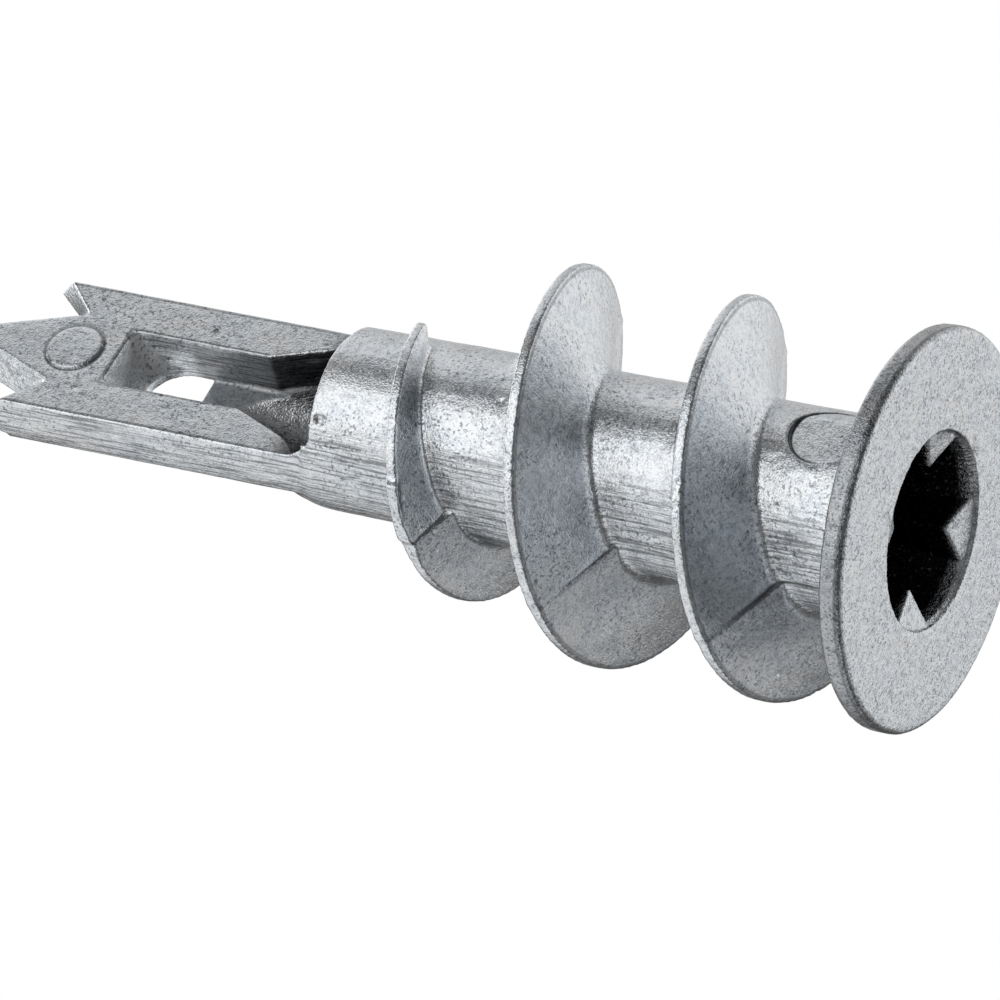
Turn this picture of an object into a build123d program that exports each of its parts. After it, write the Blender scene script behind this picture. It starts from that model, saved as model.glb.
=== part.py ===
from build123d import *
import os
from math import cos, radians, sin, tan

# Metal plasterboard anchor: one zinc die casting that drills its own hole, cuts a thread in the
# board and then takes a screw. It stands on its head. The origin is the centre of the head's front
# face and +Z runs along the axis to the drill point. The two die halves met on the XZ plane and
# drew off along Y; the blade's open face looks to -Y, the front. Lengths are in millimetres and
# angles in degrees.

# ---- Head ----
HEAD_DIAMETER = 14.0
HEAD_THICKNESS = 0.88
HEAD_EDGE_ROUND = 0.22          # front and back edges of the rim
NECK_FILLET = 0.5               # from the back of the head into the shank

# ---- Shank: a slightly tapered round core ----
CORE_RADIUS_AT_HEAD = 3.50
CORE_RADIUS_AT_END = 3.23
SHANK_END = 22.38               # the front half ends here, nearly square
END_DRAFT = 6.0                 # the end rises by this towards the parting plane, so that it draws
END_LEAN = 2.5                  # and by this from +X to -X
PARTING_FLAT_DEPTH = 0.04       # the flat that the die's parting line leaves along each side

# ---- Back half beyond the shank: a shell that narrows to the window's floor ----
SHELL_SHOULDER = 22.9           # z where the back begins to narrow
SHELL_WAIST = 24.4
SHELL_WAIST_RADIUS = 2.75
SHELL_END_RADIUS = 1.75
SHELL_BLEND = 4.0

# ---- Drill blade: a flat bar with a window and three points ----
BLADE_THICKNESS = 1.84
BLADE_RADIUS = 3.14             # its two edges are parts of this cylinder
BLADE_FILLET = 1.2              # from its front face up to the end of the shank
POINT_HEIGHT = 37.75            # z of the centre point on the blade's faces
SPUR_HEIGHT = 35.03             # z of the two spurs at the blade's edges
NOTCH_HEIGHT = 33.50            # z of the notches between them
NOTCH_OFFSET = 1.66
POINT_BEVEL = 1.60              # how far the cutting edges reach past the faces
SPUR_BEVEL = 0.63
NOTCH_BEVEL = 0.76
NOTCH_BEVEL_SHIFT = 0.40        # the notches move apart as they reach past the faces

# ---- Window and the screw's way out ----
WINDOW_WIDTH = 2.54
WINDOW_END = 31.57              # z of its square end, on the front face
WINDOW_CORNER = 0.30
WINDOW_BACK_END = 30.75         # z of its round end, at the back
WINDOW_BACK_WALL = 0.30         # the round end is straight for this much behind the slope
WINDOW_FLOOR_END = 28.75        # the floor stops here and the window goes right through
WINDOW_FLOOR_DEPTH = 1.74       # below the front face
FLARE_DEPTH = 0.45              # pocket that the window opens into towards the shank
FLARE_WIDTH = 5.60
FLARE_SHOULDER = 23.15          # z where it has its full width,
FLARE_BEND = 24.15              # where its curved sides straighten
FLARE_BEND_WIDTH = 4.10
FLARE_END = 26.10               # and where it is down to the window's width
THROAT_DEPTH = 1.62             # between the pocket and the bore; below the front face
THROAT_LEDGE = 0.08             # ledge that it leaves on each side of the pocket's floor
TROUGH_START = 24.0             # the bore narrows from here
TROUGH_END = 27.6
TROUGH_END_RADIUS = 0.63

# ---- Screw bore and driver socket ----
BORE_RADIUS = 2.1
BORE_START = 5.5
RECESS_RADIUS = 3.46            # shallow round recess at the mouth
RECESS_DEPTH = 0.18
SINK_RADIUS = 2.05              # inside it the four teeth slope down to this radius
SINK_DEPTH = 0.50
LOBE_WIDTH = 2.90               # each of the four lobes that a cross-head driver enters
LOBE_MOUTH_RADIUS = 3.40
LOBE_END_RADIUS = 2.50
LOBE_DEPTH = 6.5

# ---- Thread: right-handed, one start ----
THREAD_RADIUS = 6.76
THREAD_PITCH = 6.35
THREAD_START = 1.145            # z of the head-side root where the helix crosses +X
CREST_LAND = 0.37
FLANK_ANGLE = 19.5
THREAD_ROOT_FILLET = 0.55
RUNOUT_FROM = 15.0              # helix angles, counted from +X at the head end
RUNOUT_TO = 85.0                # full height from here
RUNOUT_RISE = 0.3
LEAD_FROM = 720.0               # the crest begins to drop towards the drill point here
LEAD_TO = 1013.0                # and the thread ends here, blunt
LEAD_RADIUS = 4.15
LEAD_BOW = 1.15                 # over 1, the crest drops quickly at first and then more slowly
LEAD_STEEPENING = 0.22          # how far the flank's root moves up by the end, as the flank steepens
SECTION_STEP = 15.0             # angle between the sections that carry the helical surfaces
DRAFT_LEDGE = 0.24              # step at the root where a flank crosses the parting plane
DRAFT_REACH = 2.2               # how far its metal runs until the flank has overtaken it

# ---- Ejector pin marks ----
TIP_PIN_RADIUS = 1.07
TIP_PIN_HEIGHT = 33.27
TIP_PIN_RAISE = 0.07
NECK_PIN_RADIUS = 1.38
NECK_PIN_HEIGHT = 3.46
NECK_PIN_OFFSET = 0.54
NECK_PIN_DEPTH = 0.24

# ---- Worked out from the sizes above ----
HEAD_RADIUS = HEAD_DIAMETER / 2
HALF_BLADE = BLADE_THICKNESS / 2
FLANK_RUN = tan(radians(FLANK_ANGLE))          # axial length of a flank per unit of height
OVERALL_LENGTH = POINT_HEIGHT + POINT_BEVEL
HALF_TURN = 180.0
BURY = 0.6                                      # how deep added metal reaches into what carries it
SKIN = 0.02                                     # how far joining faces pass each other
OVERCUT = 1.0                                   # how far cutting tools reach past the metal


def core_radius(z):
    """Radius of the tapered core at a height."""
    share = (z - HEAD_THICKNESS) / (SHANK_END - HEAD_THICKNESS)
    return between(CORE_RADIUS_AT_HEAD, CORE_RADIUS_AT_END, share)


def between(start, end, share):
    """A value part of the way from one to another."""
    return start + (end - start) * share


def nearest(face, x, y):
    """The corner of a face that is nearest to a point."""
    return face.vertices().sort_by_distance((x, y, 0))[0]


# ---------------------------------------------------------------- head, shank and shell

def turned_body():
    """The head, the core and the narrowing shell, turned from one profile."""
    neck = (core_radius(HEAD_THICKNESS), HEAD_THICKNESS)
    shoulder = (core_radius(SHELL_SHOULDER), SHELL_SHOULDER)
    face = make_face(Polyline(
        (0, 0), (HEAD_RADIUS, 0), (HEAD_RADIUS, HEAD_THICKNESS), neck, shoulder,
        (SHELL_WAIST_RADIUS, SHELL_WAIST), (SHELL_END_RADIUS, WINDOW_FLOOR_END),
        (0, WINDOW_FLOOR_END), close=True))
    face = fillet(nearest(face, HEAD_RADIUS, 0), HEAD_EDGE_ROUND)
    face = fillet(nearest(face, HEAD_RADIUS, HEAD_THICKNESS), HEAD_EDGE_ROUND)
    face = fillet(nearest(face, *neck), NECK_FILLET)
    face = fillet(nearest(face, *shoulder), SHELL_BLEND)
    return revolve(Plane.XZ * face, Axis.Z)


def front_clearance():
    """Cutter for all that stands in front of the parting plane beyond the end of the shank."""
    slope = tan(radians(END_DRAFT))
    front = -core_radius(SHANK_END)
    reach = front - OVERCUT
    side = make_face(Polyline(
        (reach, -slope * OVERCUT), (0, -slope * front), (0, OVERALL_LENGTH), (reach, OVERALL_LENGTH),
        close=True))
    block = extrude(Plane.YZ * side, HEAD_DIAMETER, both=True)
    return Pos(0, 0, SHANK_END) * Rot(0, END_LEAN, 0) * block


def parting_flats():
    """Two thin cutters along the sides of the core, from the neck to the end of the shank."""
    bottom = HEAD_THICKNESS + NECK_FILLET
    cutter = make_face(Polyline(
        (core_radius(bottom) - PARTING_FLAT_DEPTH, bottom), (HEAD_RADIUS, bottom),
        (HEAD_RADIUS, SHANK_END), (core_radius(SHANK_END) - PARTING_FLAT_DEPTH, SHANK_END), close=True))
    side = extrude(Plane.XZ * cutter, CORE_RADIUS_AT_HEAD, both=True)
    return side + mirror(side, Plane.YZ)


# ---------------------------------------------------------------- blade

def tip_outline(bevel):
    """Outline of the blade seen square on: bevel is 0 on its faces and 1 at its cutting edges."""
    reach = BLADE_RADIUS + OVERCUT
    point_z = POINT_HEIGHT + bevel * POINT_BEVEL
    notch_z = NOTCH_HEIGHT + bevel * NOTCH_BEVEL
    notch_x = NOTCH_OFFSET + bevel * NOTCH_BEVEL_SHIFT
    spur_z = SPUR_HEIGHT + bevel * SPUR_BEVEL
    edge_z = spur_z + OVERCUT * (spur_z - notch_z) / (BLADE_RADIUS - notch_x)
    return Plane.XZ * make_face(Polyline(
        (-reach, SHANK_END - BURY), (reach, SHANK_END - BURY), (reach, edge_z), (notch_x, notch_z),
        (0, point_z), (-notch_x, notch_z), (-reach, edge_z), close=True))


def blade():
    """The flat bar, its cutting edges bevelled from both faces down to the parting plane."""
    face_outline = tip_outline(0)
    edge_outline = tip_outline(1)
    front = loft([Pos(0, -HALF_BLADE, 0) * face_outline, edge_outline], ruled=True)
    back = loft([Pos(0, HALF_BLADE, 0) * face_outline, edge_outline], ruled=True)
    return (front + back) & Cylinder(BLADE_RADIUS, 3 * OVERALL_LENGTH)


def blade_fillet():
    """The hollow fillet that leads from the blade's front face up to the end of the shank."""
    low = SHANK_END - BURY
    top = SHANK_END + BLADE_FILLET
    rise = HALF_BLADE + BLADE_FILLET
    side = Polyline((0, low), (rise, low), (rise, SHANK_END), (HALF_BLADE, SHANK_END), (HALF_BLADE, top),
                    (0, top), close=True)
    face = fillet(nearest(make_face(side), HALF_BLADE, SHANK_END), BLADE_FILLET - SKIN)
    bar = extrude(Plane(origin=(0, 0, 0), x_dir=(0, -1, 0), z_dir=(-1, 0, 0)) * face, BLADE_RADIUS, both=True)
    return bar & Cylinder(BLADE_RADIUS, 3 * OVERALL_LENGTH)


# ---------------------------------------------------------------- thread

def radial_plane(angle):
    """Plane through the axis at a helix angle: local X runs outwards, local Y along the axis."""
    c = cos(radians(angle))
    s = sin(radians(angle))
    return Plane(origin=(0, 0, 0), x_dir=(c, s, 0), z_dir=(s, -c, 0))


def lead_share(angle):
    """How far along the lead a helix angle is, from 0 before it to 1 at the thread's end."""
    return max(0.0, (angle - LEAD_FROM) / (LEAD_TO - LEAD_FROM))


def crest_radius(angle):
    """Outer radius of the flight: it grows behind the head and drops towards the drill point."""
    if angle < RUNOUT_TO:
        first = core_radius(HEAD_THICKNESS) + RUNOUT_RISE
        return between(first, THREAD_RADIUS, (angle - RUNOUT_FROM) / (RUNOUT_TO - RUNOUT_FROM))
    if angle > LEAD_FROM:
        return between(LEAD_RADIUS, THREAD_RADIUS, (1 - lead_share(angle)) ** LEAD_BOW)
    return THREAD_RADIUS


def flight_roots(angle):
    """Root radius, and the z of the flight's head-side and drill-side roots, at a helix angle."""
    low = THREAD_START + THREAD_PITCH * angle / 360
    root = core_radius(low) - SKIN
    rise = crest_radius(angle) - root
    return root, low, low + 2 * rise * FLANK_RUN + CREST_LAND


def flight_section(angle):
    """Section of the flight: two flanks, a narrow crest and filleted roots."""
    crest = crest_radius(angle)
    root, low, high = flight_roots(angle)
    rise = crest - root
    lean = rise * FLANK_RUN
    foot = low + LEAD_STEEPENING * lead_share(angle)
    fillet_radius = THREAD_ROOT_FILLET * rise / (THREAD_RADIUS - root)
    toe = 0.9 * fillet_radius
    face = make_face(Polyline(
        (root - BURY, foot - toe), (root, foot - toe), (root, foot), (crest, low + lean),
        (crest, high - lean), (root, high), (root, high + toe), (root - BURY, high + toe), close=True))
    face = fillet(nearest(face, root, foot), fillet_radius)
    face = fillet(nearest(face, root, high), fillet_radius)
    return radial_plane(angle) * face


def helix_stretch(start, end):
    """One stretch of the flight, lofted through its sections."""
    steps = max(2, round((end - start) / SECTION_STEP))
    return loft([flight_section(between(start, end, i / steps)) for i in range(steps + 1)])


def draft_ledge(angle, toward_head):
    """Metal that lets a die half draw off one flank, where the flight crosses the parting plane.

    Its flat end lies on that plane and shows as a small ledge, deepest at the root.
    """
    root, low, high = flight_roots(angle)
    edge, way = (low, 1) if toward_head else (high, -1)
    outer = THREAD_RADIUS + OVERCUT
    crest_edge = edge + way * FLANK_RUN * (outer - root)
    section = make_face(Polyline(
        (root - BURY, edge - way * DRAFT_LEDGE), (root, edge - way * DRAFT_LEDGE), (outer, crest_edge),
        (outer, crest_edge + way * SKIN), (root - BURY, edge + way * DRAFT_LEDGE), close=True))
    wedge = extrude(radial_plane(angle) * section, way * DRAFT_REACH)
    return wedge & Cylinder(crest_radius(angle) - SKIN, 2 * OVERALL_LENGTH)


def thread():
    """Run-out behind the head, full flight and lead, with the ledges that the die leaves."""
    pieces = [helix_stretch(RUNOUT_FROM, RUNOUT_TO), helix_stretch(RUNOUT_TO, LEAD_FROM),
              helix_stretch(LEAD_FROM, LEAD_TO)]
    crossing = HALF_TURN
    while crossing < LEAD_TO:
        pieces += [draft_ledge(crossing, True), draft_ledge(crossing, False)]
        crossing += HALF_TURN
    return pieces


# ---------------------------------------------------------------- what is cut away

def socket():
    """Round recess, the slope down its four teeth, and four tapering lobes for a cross-head driver."""
    recess = Pos(0, 0, RECESS_DEPTH / 2) * Cylinder(RECESS_RADIUS, RECESS_DEPTH)
    fall = SINK_DEPTH - RECESS_DEPTH
    recess += Pos(0, 0, RECESS_DEPTH + fall / 2) * Cone(RECESS_RADIUS, SINK_RADIUS, fall)
    cone = Pos(0, 0, LOBE_DEPTH / 2) * Cone(LOBE_MOUTH_RADIUS, LOBE_END_RADIUS, LOBE_DEPTH)
    slot = Pos(0, 0, LOBE_DEPTH / 2) * Box(LOBE_WIDTH, HEAD_DIAMETER, LOBE_DEPTH)
    return recess + (cone & (slot + Rot(0, 0, 90) * slot))


def bore():
    """The screw's bore, from the foot of the driver socket to the narrowing trough that it ends in."""
    length = TROUGH_START - BORE_START
    hole = Pos(0, 0, BORE_START + length / 2) * Cylinder(BORE_RADIUS, length)
    run = TROUGH_END - TROUGH_START
    return hole + Pos(0, 0, TROUGH_START + run / 2) * Cone(BORE_RADIUS, TROUGH_END_RADIUS, run)


def window_outline(end_z, corner):
    """Outline of the window from the end of its floor to the drill end, with its two corners round."""
    half = WINDOW_WIDTH / 2
    turn = end_z - corner
    start = WINDOW_FLOOR_END - SKIN
    with BuildLine() as outline:
        Line((-half, start), (-half, turn))
        RadiusArc((-half, turn), (corner - half, end_z), corner)
        Line((corner - half, end_z), (half - corner, end_z))
        RadiusArc((half - corner, end_z), (half, turn), corner)
        Line((half, turn), (half, start))
        Line((half, start), (-half, start))
    return make_face(outline.line)


def window():
    """The window: over a floor at first, then right through, square in front and round behind."""
    slope_end = HALF_BLADE - WINDOW_BACK_WALL
    front_end = Plane.XZ.offset(HALF_BLADE) * window_outline(WINDOW_END, WINDOW_CORNER)
    back_end = Plane.XZ.offset(-slope_end) * window_outline(WINDOW_BACK_END, WINDOW_WIDTH / 2 - SKIN)
    length = WINDOW_FLOOR_END - TROUGH_START
    floored = Pos(0, -HALF_BLADE + WINDOW_FLOOR_DEPTH / 2, TROUGH_START + length / 2) * Box(
        WINDOW_WIDTH, WINDOW_FLOOR_DEPTH, length)
    through = loft([front_end, back_end], ruled=True) + extrude(back_end, -WINDOW_BACK_WALL - OVERCUT)
    return through + floored


def flare_plan(inset):
    """Outline of the flare seen square on, its sides moved in by an inset."""
    wide = FLARE_WIDTH / 2 - inset
    bend = FLARE_BEND_WIDTH / 2 - inset
    narrow = WINDOW_WIDTH / 2
    with BuildLine() as outline:
        Line((narrow, FLARE_END), (bend, FLARE_BEND))
        TangentArc((bend, FLARE_BEND), (wide, FLARE_SHOULDER), tangent=(bend - narrow, FLARE_BEND - FLARE_END))
        Polyline((wide, FLARE_SHOULDER), (wide, SHANK_END), (0, SHANK_END))
        mirror(about=Plane.YZ)
        Line((narrow, FLARE_END), (-narrow, FLARE_END))
    return make_face(outline.line)


def flare():
    """Pocket where the window opens out towards the shank, and the throat between it and the bore."""
    pocket = extrude(Plane.XZ.offset(HALF_BLADE - FLARE_DEPTH) * flare_plan(0), BLADE_RADIUS)
    beyond_bore = Pos(0, 0, TROUGH_START + OVERALL_LENGTH / 2) * Box(
        HEAD_DIAMETER, HEAD_DIAMETER, OVERALL_LENGTH)
    throat = extrude(Plane.XZ.offset(HALF_BLADE - THROAT_DEPTH) * flare_plan(THROAT_LEDGE), BLADE_RADIUS)
    return pocket + (throat & beyond_bore)


# ---------------------------------------------------------------- ejector pin marks

def pin_disc(radius, front_y, depth):
    """A disc that stands along Y, with its front face at front_y."""
    return Pos(0, front_y + depth / 2, 0) * Rot(90, 0, 0) * Cylinder(radius, depth)


def tip_pin_mark():
    """Raised disc on the blade between the window and the centre point."""
    disc = pin_disc(TIP_PIN_RADIUS, -HALF_BLADE - TIP_PIN_RAISE, HALF_BLADE)
    return Pos(0, 0, TIP_PIN_HEIGHT) * disc


def neck_pin_mark():
    """Cutter for the flat sunk in the front of the shank, beside the head."""
    bottom = core_radius(NECK_PIN_HEIGHT) - NECK_PIN_DEPTH
    disc = pin_disc(NECK_PIN_RADIUS, -bottom - OVERCUT, OVERCUT)
    return Pos(NECK_PIN_OFFSET, 0, NECK_PIN_HEIGHT) * disc


# ---------------------------------------------------------------- the casting

def anchor():
    """The whole casting as one solid."""
    body = turned_body() - front_clearance() - parting_flats()
    body = body + blade() + blade_fillet()
    for piece in thread():
        body = body + piece
    body = body - flare() - window() - bore() - socket()
    return body - neck_pin_mark() + tip_pin_mark()


def main():
    os.makedirs("parts", exist_ok=True)
    export_step(anchor(), "parts/anchor.step")


if __name__ == "__main__":
    main()
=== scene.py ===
"""Looks for the metal plasterboard anchor: the zinc casting with the edges, pits and grain that it
comes out of the die with, in plain studio light. Helpers work in millimetres; Blender's unit is
the metre."""

import math
import random

import bmesh
import bpy
import numpy as np
from mathutils import Matrix, Vector, kdtree, noise


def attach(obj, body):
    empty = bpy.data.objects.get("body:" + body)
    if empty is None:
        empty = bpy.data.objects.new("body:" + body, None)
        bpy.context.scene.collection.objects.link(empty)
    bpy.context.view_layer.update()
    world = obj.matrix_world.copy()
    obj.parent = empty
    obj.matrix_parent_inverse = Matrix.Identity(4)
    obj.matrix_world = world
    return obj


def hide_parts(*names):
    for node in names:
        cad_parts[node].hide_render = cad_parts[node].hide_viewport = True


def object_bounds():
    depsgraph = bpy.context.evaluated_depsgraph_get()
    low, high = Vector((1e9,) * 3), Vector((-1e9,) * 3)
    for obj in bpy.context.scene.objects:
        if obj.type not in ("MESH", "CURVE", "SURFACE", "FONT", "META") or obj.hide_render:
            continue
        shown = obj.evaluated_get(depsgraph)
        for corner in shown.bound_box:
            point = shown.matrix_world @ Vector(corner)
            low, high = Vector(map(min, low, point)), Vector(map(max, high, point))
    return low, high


MM = 0.001
SEED = 20

# Surface of the casting, in millimetres
VOXEL = 0.065                  # grid that rounds the casting's edges
WELD = 0.0015                  # points of the CAD mesh that are nearer than this are one
EDGE_PASSES = 5                # smoothing passes on it
MARK_PASSES = 1                # and near the two pin marks, which stay crisp
NEAR_MARK = 0.45
MOST_TRIANGLES = 190_000
WAVES = ((1.1, 0.012), (0.40, 0.007))       # wavelength and height of the casting's unevenness
STREAK_HEIGHT = 0.012          # drag marks along the sides, where the die drew off
STREAK_FIELD = (1.2, 5.5, 0.32)             # how often they change along each axis
END_PIT = (-2.3, -2.3, 22.0)   # the one large pit, at the shank's end
END_PIT_RADIUS = 0.30
END_PIT_DEPTH = 0.12
PITS = 150                     # and the small ones, which are scattered
PIT_RADII = (0.10, 0.20)
PIT_DEPTHS = (0.02, 0.05)
MARK_GROOVE = 0.05             # depth of the line around each pin mark
MARK_GROOVE_WIDTH = 0.10

# The two ejector pin marks: x and z of the centre, radius, and the y that they lie in front of
TIP_MARK = (0.0, 33.27, 1.07, -0.8)
NECK_MARK = (0.54, 3.46, 1.38, -2.2)
FADE_START = 3.0               # the neck mark's line starts at this height and is full
FADE_RUN = 0.6                 # this much higher

# Thin lines of painted shade along the edges, in millimetres
CREST_LINE = 6.64              # radius on the thread
BLADE_LINE = 2.90              # from the middle of the blade
WINDOW_LINE = 1.35
WINDOW_END_LINE = 31.66        # height
EDGE_LINE = 0.08               # half the width of each

# The metal
METAL = 0.68                   # lightness of its plain colour
LIGHTEST = 1.08                # of the cast skin's grain, as a share of that colour

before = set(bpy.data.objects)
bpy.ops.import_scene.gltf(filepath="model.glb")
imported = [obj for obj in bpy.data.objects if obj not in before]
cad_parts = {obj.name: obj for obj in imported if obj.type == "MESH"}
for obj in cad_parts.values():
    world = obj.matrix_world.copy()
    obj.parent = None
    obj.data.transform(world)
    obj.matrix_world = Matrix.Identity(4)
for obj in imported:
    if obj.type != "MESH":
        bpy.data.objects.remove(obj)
cad_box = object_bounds()


# ---------------------------------------------------------------- the casting's surface

def link(obj):
    """Puts an object in the scene."""
    bpy.context.scene.collection.objects.link(obj)
    return obj


def bake_modifiers(obj):
    """Gives an object the mesh that its modifiers make."""
    graph = bpy.context.evaluated_depsgraph_get()
    mesh = bpy.data.meshes.new_from_object(obj.evaluated_get(graph))
    obj.modifiers.clear()
    old = obj.data
    obj.data = mesh
    bpy.data.meshes.remove(old)


def arrays(mesh):
    """A mesh's points and their normals."""
    count = len(mesh.vertices)
    points = np.empty(count * 3, np.float32)
    normals = np.empty(count * 3, np.float32)
    mesh.vertices.foreach_get("co", points)
    mesh.vertices.foreach_get("normal", normals)
    return points.reshape(-1, 3), normals.reshape(-1, 3)


def put(mesh, points):
    """Moves a mesh's points."""
    mesh.vertices.foreach_set("co", points.astype(np.float32).ravel())
    mesh.update()


def on_mark(points, mark):
    """Distance from a pin mark's outline, for the points on the front; far away for all others."""
    x, z, radius, front = mark
    away = np.abs(np.hypot(points[:, 0] - x, points[:, 2] - z) - radius)
    return np.where(points[:, 1] < front, away, 9.0)


def near_marks(points):
    """Distance from the outline of the nearer pin mark."""
    return np.minimum(on_mark(points, TIP_MARK), on_mark(points, NECK_MARK))


def mark_grooves(points):
    """Depth of the line around each pin mark; the neck's fades out towards the head."""
    tip, neck = (np.clip(1 - (on_mark(points, mark) / MARK_GROOVE_WIDTH) ** 2, 0, 1)
                 for mark in (TIP_MARK, NECK_MARK))
    return MARK_GROOVE * np.maximum(tip, neck * np.clip((points[:, 2] - FADE_START) / FADE_RUN, 0, 1))


def fine_grid(cad):
    """A copy of the CAD solid on a fine even grid, in millimetres."""
    mesh = cad.data.copy()
    mesh.transform(Matrix.Scale(1 / MM, 4))
    weld = bmesh.new()
    weld.from_mesh(mesh)
    bmesh.ops.remove_doubles(weld, verts=weld.verts, dist=WELD)
    weld.to_mesh(mesh)
    weld.free()
    mesh.materials.clear()
    obj = link(bpy.data.objects.new("casting", mesh))
    remesh = obj.modifiers.new("grid", "REMESH")
    remesh.mode = "VOXEL"
    remesh.voxel_size = VOXEL
    bake_modifiers(obj)
    return obj


def round_edges(obj):
    """Rounds every edge a little, as on a casting, and leaves the pin marks crisper."""
    points, _ = arrays(obj.data)
    marked = near_marks(points) < NEAR_MARK
    for passes, chosen in ((MARK_PASSES, marked), (EDGE_PASSES, ~marked)):
        group = obj.vertex_groups.new(name=f"passes_{passes}")
        group.add(np.nonzero(chosen)[0].tolist(), 1.0, "REPLACE")
        soften = obj.modifiers.new(group.name, "SMOOTH")
        soften.factor = 0.5
        soften.iterations = passes
        soften.vertex_group = group.name
    bake_modifiers(obj)
    obj.vertex_groups.clear()


def unevenness(points, normals):
    """Height of the cast surface over the true one at each point."""
    height = np.zeros(len(points), np.float32)
    for wavelength, size in WAVES:
        field = points / wavelength
        height += size * np.array([noise.noise(p) for p in field.tolist()], np.float32)
    sides = np.clip((np.abs(normals[:, 0]) - 0.72) / 0.2, 0, 1)
    sides *= np.hypot(points[:, 0], points[:, 1]) < 4
    field = points * np.array(STREAK_FIELD, np.float32)
    drag = np.array([noise.noise(p) for p in field.tolist()], np.float32)
    return height + STREAK_HEIGHT * sides * drag


def pits(points):
    """Depth of the small casting pits at each point: one at the shank's end, the rest scattered."""
    rng = random.Random(SEED)
    tree = kdtree.KDTree(len(points))
    for i, p in enumerate(points.tolist()):
        tree.insert(p, i)
    tree.balance()
    places = [(Vector(END_PIT), END_PIT_RADIUS, END_PIT_DEPTH)]
    for _ in range(PITS):
        p = Vector(points[rng.randrange(len(points))].tolist())
        places.append((p, rng.uniform(*PIT_RADII), rng.uniform(*PIT_DEPTHS)))
    depth = np.zeros(len(points), np.float32)
    for centre, radius, deep in places:
        start = tree.find(centre)[0]
        for _, i, away in tree.find_range(start, radius):
            depth[i] = max(depth[i], deep * (1 - (away / radius) ** 2) ** 2)
    return depth


def casting(cad):
    """The whole casting as one smooth-shaded mesh, in the frame's metres."""
    obj = fine_grid(cad)
    box_low, box_high = (np.array(corner) / MM for corner in cad_box)
    round_edges(obj)
    points, normals = arrays(obj.data)
    offset = unevenness(points, normals) - pits(points) - mark_grooves(points)
    put(obj.data, np.clip(points + normals * offset[:, None], box_low, box_high))
    thin = obj.modifiers.new("thin", "DECIMATE")
    triangles = sum(len(p.vertices) - 2 for p in obj.data.polygons)
    thin.ratio = min(1.0, MOST_TRIANGLES / triangles)
    thin.use_collapse_triangulate = True
    bake_modifiers(obj)
    obj.data.transform(Matrix.Scale(MM, 4))
    obj.data.polygons.foreach_set("use_smooth", [True] * len(obj.data.polygons))
    obj.data.update()
    return obj


# ---------------------------------------------------------------- material

class Graph:
    """Short calls for building a node tree."""

    def __init__(self, tree):
        self.tree = tree
        tree.nodes.clear()

    def node(self, kind, inputs=(), **settings):
        made = self.tree.nodes.new(kind)
        for key, value in settings.items():
            setattr(made, key, value)
        for key, value in dict(inputs).items():
            socket = made.inputs[key]
            if isinstance(value, bpy.types.NodeSocket):
                self.tree.links.new(value, socket)
            else:
                socket.default_value = value
        return made

    def math(self, operation, a, b=0.0):
        made = self.node("ShaderNodeMath", {0: a, 1: b}, operation=operation)
        return made.outputs[0]

    def ramp(self, value, low, high, out_low=0.0, out_high=1.0, smooth=True):
        made = self.node(
            "ShaderNodeMapRange",
            {"Value": value, "From Min": low, "From Max": high, "To Min": out_low, "To Max": out_high},
            interpolation_type="SMOOTHSTEP" if smooth else "LINEAR")
        return made.outputs[0]

    def stretched(self, vector, scale):
        made = self.node("ShaderNodeVectorMath", {0: vector, 1: scale}, operation="MULTIPLY")
        return made.outputs[0]

    def noise(self, vector, scale, detail=2.0, rough=0.5):
        made = self.node("ShaderNodeTexNoise", {
            "Vector": vector, "Scale": scale, "Detail": detail, "Roughness": rough})
        return made.outputs["Fac"]

    def mix(self, share, a, b):
        made = self.node("ShaderNodeMix", data_type="RGBA")
        for key, value in ((0, share), (6, a), (7, b)):
            if isinstance(value, bpy.types.NodeSocket):
                self.tree.links.new(value, made.inputs[key])
            else:
                made.inputs[key].default_value = value
        return made.outputs[2]


def grey(level, warmth=0.0):
    """A colour near grey; warmth above 0 leans to beige and below 0 to blue."""
    return (level * (1 + warmth), level, level * (1 - warmth), 1.0)


def product(g, *factors):
    total = factors[0]
    for factor in factors[1:]:
        total = g.math("MULTIPLY", total, factor)
    return total


def distance(g, a, b):
    """Length of the plane vector (a, b)."""
    return g.math("SQRT", g.math("ADD", g.math("MULTIPLY", a, a), g.math("MULTIPLY", b, b)))


def stripe(g, value, middle, half):
    """1 where a value is at the middle of a thin line and 0 outside it."""
    return g.ramp(g.math("ABSOLUTE", g.math("SUBTRACT", value, middle)), half, 0.35 * half)


def mark_shadow_line(g, x, y, z, mark):
    """1 on the line around a pin mark, where the shadow of its step is painted, and 0 away from it."""
    middle_x, middle_z, size, front = mark
    away = distance(g, g.math("SUBTRACT", x, middle_x), g.math("SUBTRACT", z, middle_z))
    return product(g, stripe(g, away, size, 0.11), g.ramp(y, front + 0.1, front))


def edge_line(g, value, middle):
    """1 on the thin line of painted shade along an edge and 0 outside it."""
    return stripe(g, value, middle, EDGE_LINE)


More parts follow.
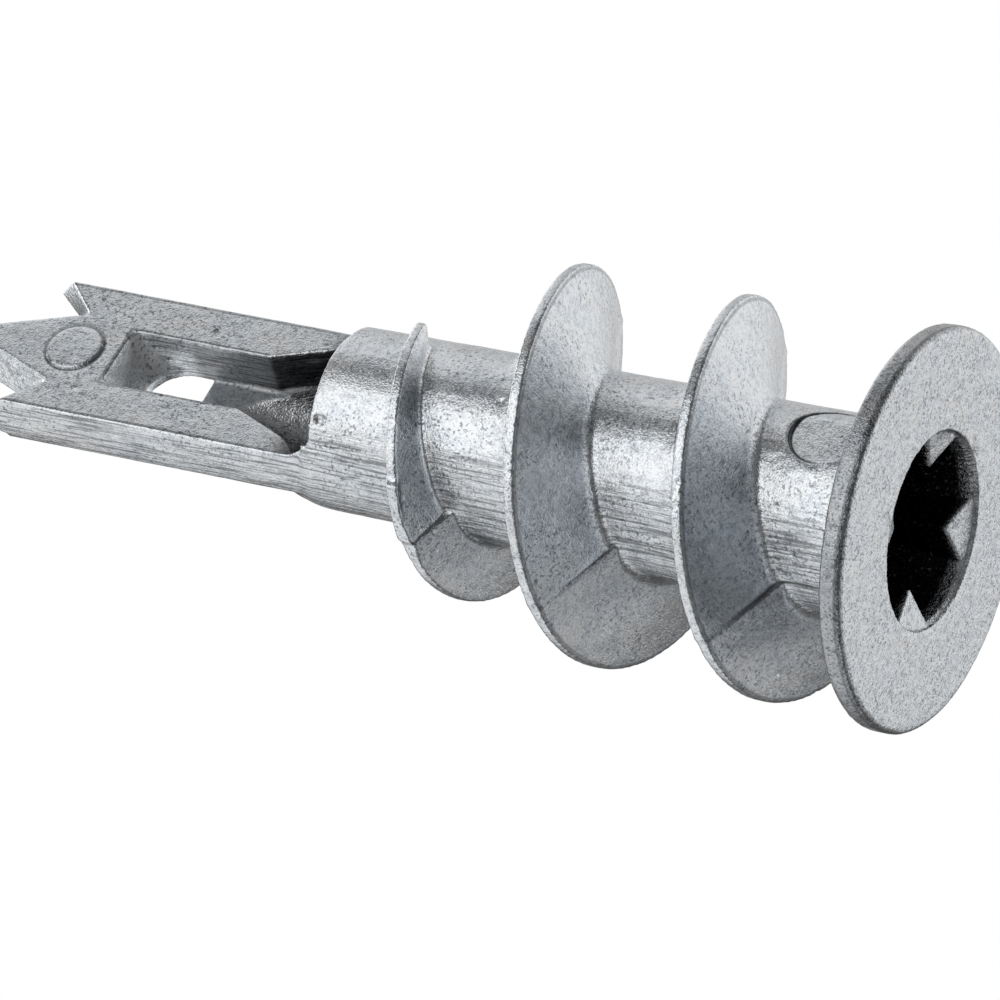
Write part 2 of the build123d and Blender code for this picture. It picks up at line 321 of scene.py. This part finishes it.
def zinc():
    """Bare die-cast zinc: light grey metal with a fine bright and dark grain, drag marks along the
    sides and a duller rim. Painted into its colour: shade along edges, pin marks and the parting
    ledge and in the recesses, glints in the bore, and light on the window's end slope."""
    material = bpy.data.materials.new("zinc_casting")
    material.use_nodes = True
    g = Graph(material.node_tree)
    place = g.stretched(g.node("ShaderNodeTexCoord").outputs["Object"], (1 / MM,) * 3)
    x, y, z = g.node("ShaderNodeSeparateXYZ", {0: place}).outputs
    radius = distance(g, x, y)
    width = g.math("ABSOLUTE", x)
    normal = g.node("ShaderNodeSeparateXYZ", {0: g.node("ShaderNodeNewGeometry").outputs["Normal"]})

    # Texture of the cast skin
    grain = g.noise(place, 14.0, 2.0, 0.6)
    fleck = g.noise(place, 8.0, 1.0, 0.5)
    mottle = g.noise(place, 3.2, 3.0, 0.6)
    patch = g.noise(place, 0.8, 3.0, 0.6)
    cluster = g.noise(place, 0.55, 1.0, 0.5)
    along = g.noise(g.stretched(place, (2.0, 6.5, 0.25)), 1.6, 3.0, 0.65)
    side = product(g, g.ramp(g.math("ABSOLUTE", normal.outputs[0]), 0.60, 0.9), g.ramp(radius, 4.0, 3.8))

    # Places on the casting that look different, each from 0 to 1
    # Painted shade: the bore, the blade's cavity and its throat are darkened in the colour where shade
    # falls inside them
    inside = g.math("SUBTRACT", g.ramp(z, 1.6, 2.6, 3.36, 3.12), radius)
    bore = product(g, g.ramp(inside, 0.0, 0.06), g.ramp(z, 0.50, 0.75), g.ramp(z, 24.6, 23.0))
    cavity = product(g, g.ramp(width, 2.85, 2.7), g.ramp(y, -0.86, -0.66), g.ramp(y, 0.88, 0.80),
                     g.ramp(z, 22.3, 22.6), g.ramp(z, 29.6, 29.0))
    throat = product(g, cavity, g.ramp(z, 26.3, 26.0), g.ramp(x, 0.4, 1.2))
    # Painted light: the sloping end of the window is made lighter in the colour
    slope = product(g, g.ramp(width, 1.4, 1.3), g.ramp(y, -0.88, -0.78), g.ramp(y, 0.70, 0.55),
                    g.ramp(z, 29.6, 30.2), g.ramp(z, 31.9, 31.8))
    rim = product(g, g.ramp(radius, 6.86, 6.94), g.ramp(z, 1.0, 0.95))
    # Painted shade: a thin dark line round the edge of the head's rim
    rim_line = product(g, g.ramp(radius, 6.80, 6.90), stripe(g, z, 0.22, 0.09))
    head = g.ramp(z, 0.9, 0.6)
    # Painted shade: thin dark lines along the thread's crest and the edges of the blade and window
    crest_line = product(g, edge_line(g, radius, CREST_LINE), g.ramp(z, 1.2, 1.5))
    blade_line = product(g, edge_line(g, width, BLADE_LINE), g.ramp(z, 23.8, 24.4))
    window_side = product(g, edge_line(g, width, WINDOW_LINE),
                          g.ramp(z, 26.0, 26.3), g.ramp(z, 31.7, 31.6))
    window_end = product(g, edge_line(g, z, WINDOW_END_LINE), g.ramp(width, 1.42, 1.34))
    face_line = product(g, g.ramp(y, -0.86, -0.90),
                        g.math("MAXIMUM", blade_line, g.math("MAXIMUM", window_side, window_end)))
    # Painted shade along the parting ledge on the flights, darkest near the core and towards the head
    parting = product(g, g.ramp(g.math("ABSOLUTE", y), 0.12, 0.02), g.ramp(x, -3.2, -3.5),
                      g.ramp(radius, 6.3, 5.2, 0.15, 1.0), g.ramp(z, 13.0, 6.0, 0.6, 1.0),
                      g.ramp(z, 1.5, 2.0))

    # Lightness of the metal, as a share of the plain colour
    rough_skin = g.ramp(head, 0.0, 1.0, 1.0, 1.6, smooth=False)
    tone = g.math("ADD", g.ramp(grain, 0.36, 0.64, -0.16, 0.16, smooth=False),
                  g.ramp(mottle, 0.33, 0.67, -0.16, 0.16, smooth=False))
    tone = g.math("MULTIPLY", tone, rough_skin)
    tone = g.math("ADD", tone, g.ramp(patch, 0.3, 0.7, 0.95, 1.05))
    tone = g.math("MINIMUM", tone, LIGHTEST)
    dark = product(g, g.ramp(fleck, 0.43, 0.33), g.ramp(cluster, 0.35, 0.65, 0.3, 1.0), rough_skin)
    darker = (
        (dark, 0.55),
        (product(g, side, g.ramp(along, 0.54, 0.38)), 0.60),
        (head, 0.06),
        (rim, 0.36),
        # painted shade along the edges
        (crest_line, 0.40),
        (face_line, 0.45),
        (rim_line, 0.45),
        # painted shade inside the cavity, its throat and the bore
        (cavity, 0.4),
        (throat, 0.5),
        (bore, 0.95),
        (slope, -0.45),        # below 0 is lighter: painted light on the window's end slope
        # painted shade along the parting ledge
        (parting, 0.75),
        # painted shadow along the step round each pin mark
        (mark_shadow_line(g, x, y, z, TIP_MARK), 0.55),
        (product(g, mark_shadow_line(g, x, y, z, NECK_MARK), g.ramp(z, FADE_START, FADE_START + FADE_RUN)), 0.90),
    )
    for mask, share in darker:
        tone = product(g, tone, g.ramp(mask, 0.0, 1.0, 1.0, 1.0 - share, smooth=False))
    # Painted glints: light specks added to the colour in the bore, towards the head
    painted_glints = product(g, bore, g.ramp(fleck, 0.60, 0.70), g.ramp(z, 9.0, 4.0))
    tone = g.math("ADD", tone, g.math("MULTIPLY", painted_glints, 0.5))
    base = g.mix(g.ramp(patch, 0.35, 0.65), grey(METAL, -0.055), grey(METAL, -0.025))
    colour = g.stretched(base, tone)

    matt = g.math("ADD", g.math("MULTIPLY", bore, 0.25),
                  g.math("MULTIPLY", g.math("MAXIMUM", cavity, slope), 0.30))
    rough = g.math("ADD", g.ramp(patch, 0.3, 0.7, 0.10, 0.16), matt)

    height = g.math("ADD", g.math("MULTIPLY", grain, 0.018), g.math("MULTIPLY", mottle, 0.022))
    height = g.math("ADD", product(g, height, rough_skin), product(g, along, side, 0.04))
    bump = g.node("ShaderNodeBump", {"Strength": 1.0, "Distance": MM, "Height": height})

    shader = g.node("ShaderNodeBsdfPrincipled", {
        "Base Color": colour, "Metallic": 1.0, "Roughness": rough, "Normal": bump.outputs[0]})
    g.node("ShaderNodeOutputMaterial", {"Surface": shader.outputs[0]})
    return material


# ---------------------------------------------------------------- camera

# What the camera looks at, in millimetres, from which side and how far, and how far it is turned
# about its own axis, in degrees. At azimuth 0 it looks along +Y, as the frame's views do.
VIEW_CENTRE = (-1.36, 1.14, 16.22)
VIEW_AZIMUTH = -40.0
VIEW_ELEVATION = -26.3
VIEW_ROLL = -78.9
VIEW_DISTANCE = 392.0
LENS = 411.0
SENSOR = 36.0


def camera_axes():
    """The camera's right and up, and the way back from the object to it."""
    azimuth, elevation, roll = (math.radians(a) for a in (VIEW_AZIMUTH, VIEW_ELEVATION, VIEW_ROLL))
    level = Vector((math.cos(azimuth), math.sin(azimuth), 0))
    back = Vector((math.sin(azimuth) * math.cos(elevation), -math.cos(azimuth) * math.cos(elevation),
                   math.sin(elevation)))
    upright = back.cross(level)
    right = level * math.cos(roll) + upright * math.sin(roll)
    return right, back.cross(right), back


RIGHT, UP, BACK = camera_axes()


def camera():
    """A long lens below and in front of the head, turned so that the anchor lies across the view."""
    lens = bpy.data.cameras.new("camera")
    lens.sensor_width = SENSOR
    lens.lens = LENS
    lens.clip_start = 0.01
    lens.clip_end = 10
    obj = link(bpy.data.objects.new("camera", lens))
    turn = Matrix((RIGHT, UP, BACK)).transposed().to_4x4()
    obj.matrix_world = Matrix.Translation((Vector(VIEW_CENTRE) + BACK * VIEW_DISTANCE) * MM) @ turn
    bpy.context.scene.camera = obj


# ---------------------------------------------------------------- studio

# Where things stand round the object, in degrees: the bearing from the camera, positive to its
# right, the height above it, and the angles from the middle to where the edge begins and ends.
BACKDROP = (118, 18, 34, 48)       # white, with strength 1; the head's face mirrors its lower part
LIGHTS = (                         # and the strength
    (-51, 19, 30, 36, 1.2),        # large soft box: the core mirrors it in its brightest line
    (-95, -48, 32, 58, 0.8),       # table at the left: the core's underside and the blade's side
    (-145, 68, 14, 26, 0.7),       # ceiling behind the object: the blade's face
    (-145, 25, 15, 32, 0.8),       # and the wall below that
    (176, 22, 25, 38, 0.5),        # wall behind the object: the core's upper edge
    (100, -26, 12, 35, 0.3),       # table at the right: the flights' darker side
    (-117, 10, 12, 24, 1.5),       # soft box straight over the floor, which it lights
)
ROOM = 0.15                        # strength of the rest of the room
FLOOR_HALF = 1.2                   # half the floor's width, in metres
FLOOR_GAP = 0.02                   # between the floor and the head, in millimetres
FLOOR_COLOUR = (0.93, 0.93, 0.93, 1.0)


def glow(g, toward, bearing, height, full, none):
    """1 in the middle of something that stands in the studio and 0 outside it."""
    bearing, height = math.radians(bearing), math.radians(height)
    aim = (RIGHT * math.sin(bearing) * math.cos(height) + UP * math.sin(height)
           + BACK * math.cos(bearing) * math.cos(height))
    cosine = g.node("ShaderNodeVectorMath", {0: toward, 1: tuple(aim)}, operation="DOT_PRODUCT")
    return g.ramp(cosine.outputs["Value"], math.cos(math.radians(none)), math.cos(math.radians(full)))


def mirrored(g, path):
    """1 for a ray that metal or glass sends on and 0 for any other."""
    return g.math("MAXIMUM", path.outputs["Is Glossy Ray"], path.outputs["Is Transmission Ray"])


def studio_light():
    """The world: white to the camera; on the object, soft lights and the same white backdrop, which
    metal shows wherever it reflects the part of the room that the backdrop takes up."""
    world = bpy.data.worlds.new("studio")
    bpy.context.scene.world = world
    world.use_nodes = True
    g = Graph(world.node_tree)
    toward = g.node("ShaderNodeTexCoord").outputs["Generated"]
    total = ROOM
    for bearing, height, full, none, strength in LIGHTS:
        total = g.math("ADD", total, product(g, glow(g, toward, bearing, height, full, none), strength))
    path = g.node("ShaderNodeLightPath")
    white = g.math("MAXIMUM", path.outputs["Is Camera Ray"],
                   product(g, mirrored(g, path), glow(g, toward, *BACKDROP)))
    shown = g.node("ShaderNodeBackground", {"Color": (1, 1, 1, 1), "Strength": 1.0})
    light = g.node("ShaderNodeBackground", {"Color": (1, 1, 1, 1), "Strength": total})
    both = g.node("ShaderNodeMixShader", {0: white, 1: light.outputs[0], 2: shown.outputs[0]})
    g.node("ShaderNodeOutputWorld", {"Surface": both.outputs[0]})


def studio_floor():
    """A plain white floor with the object's shadow. It shows from above only, so that a camera
    below it sees the head. Metal shows it too, except to a camera that has looked through it."""
    corners = [(x * FLOOR_HALF, y * FLOOR_HALF, 0) for x, y in ((-1, -1), (1, -1), (1, 1), (-1, 1))]
    mesh = bpy.data.meshes.new("floor")
    mesh.from_pydata(corners, [], [(0, 1, 2, 3)])
    floor = link(bpy.data.objects.new("floor", mesh))
    floor.location.z = -FLOOR_GAP * MM
    material = bpy.data.materials.new("floor_white")
    material.use_nodes = True
    g = Graph(material.node_tree)
    path = g.node("ShaderNodeLightPath")
    from_above = g.math("LESS_THAN", path.outputs["Transparent Depth"], 0.5)
    looking = g.math("MAXIMUM", path.outputs["Is Camera Ray"], product(g, mirrored(g, path), from_above))
    above = g.math("SUBTRACT", 1.0, g.node("ShaderNodeNewGeometry").outputs["Backfacing"])
    clear = g.node("ShaderNodeBsdfTransparent")
    white = g.node("ShaderNodeBsdfDiffuse", {"Color": FLOOR_COLOUR})
    both = g.node("ShaderNodeMixShader", {
        0: product(g, looking, above), 1: clear.outputs[0], 2: white.outputs[0]})
    g.node("ShaderNodeOutputMaterial", {"Surface": both.outputs[0]})
    mesh.materials.append(material)


anchor = casting(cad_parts["anchor"])
anchor.data.materials.append(zinc())
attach(anchor, "root")
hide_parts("anchor")
studio_floor()
studio_light()
camera()
bpy.context.scene.view_settings.view_transform = "Standard"
